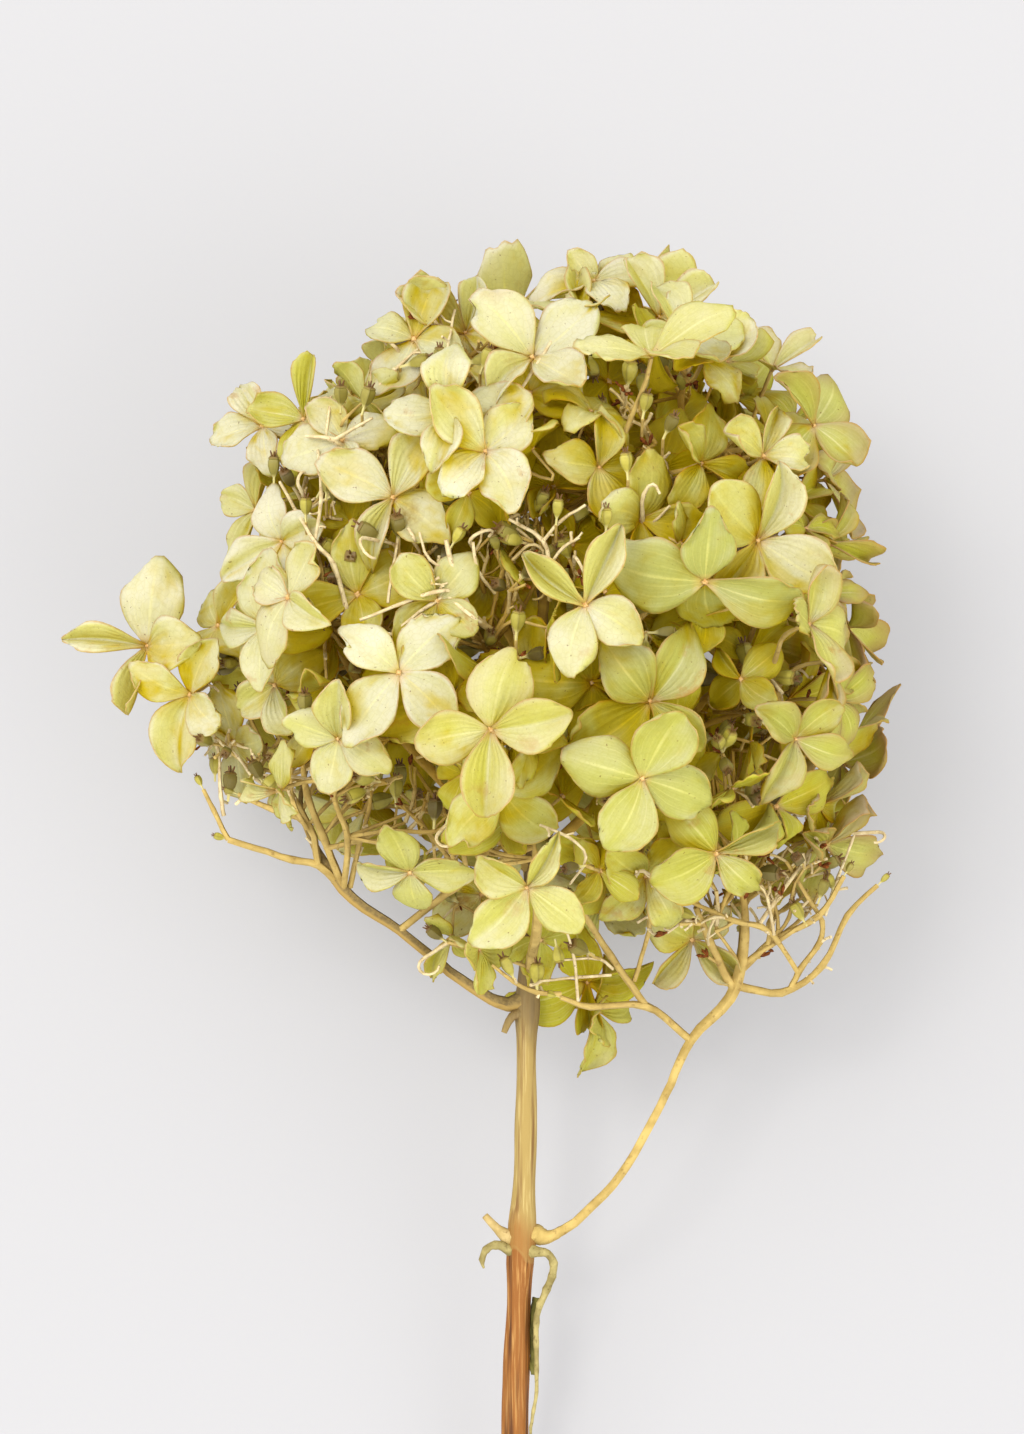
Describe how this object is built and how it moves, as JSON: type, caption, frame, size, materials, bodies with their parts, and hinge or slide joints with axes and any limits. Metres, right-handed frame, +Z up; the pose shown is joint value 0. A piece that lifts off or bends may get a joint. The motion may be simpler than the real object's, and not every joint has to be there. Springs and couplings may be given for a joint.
{
  "type": "dried hydrangea",
  "caption": "Dried panicle hydrangea: an airy round head of four-sepalled florets on forked twigs, on a cut woody stem, lying on its back.",
  "frame": {"origin": "middle of the lying flower's box, on the surface it lies on", "axes": "+Y along the stem towards the flower head as it lies, +Z up; the head's front faces up and a little towards the cut end"},
  "size_m": [0.1664, 0.2948, 0.1298],
  "materials": {
    "stem_bark": "dry bark, tan above the node and red-brown below it",
    "withered_leaf": "shrivelled olive leaf, matt",
    "dried_florets": "papery pale yellow-green sepals with fine veins",
    "dried_twigs": "dry straw-coloured twigs, finely downy",
    "seed_capsules": "dry olive capsules with brown tips"
  },
  "bodies": {
    "root": {"stem": "stem_bark", "dried_leaf": "withered_leaf", "spray_left_low": "dried_florets", "spray_right_low": "dried_florets", "spray_front_low": "dried_florets", "spray_back_low": "dried_florets", "spray_left_middle": "dried_florets", "spray_right_middle": "dried_florets", "spray_front_middle": "dried_florets", "spray_back_left": "dried_florets", "spray_back_right": "dried_florets", "spray_left_top": "dried_florets", "spray_right_top": "dried_florets", "spray_front_top": "dried_florets", "spray_back_top": "dried_florets", "spray_crown": "dried_florets"}
  },
  "joints": []
}
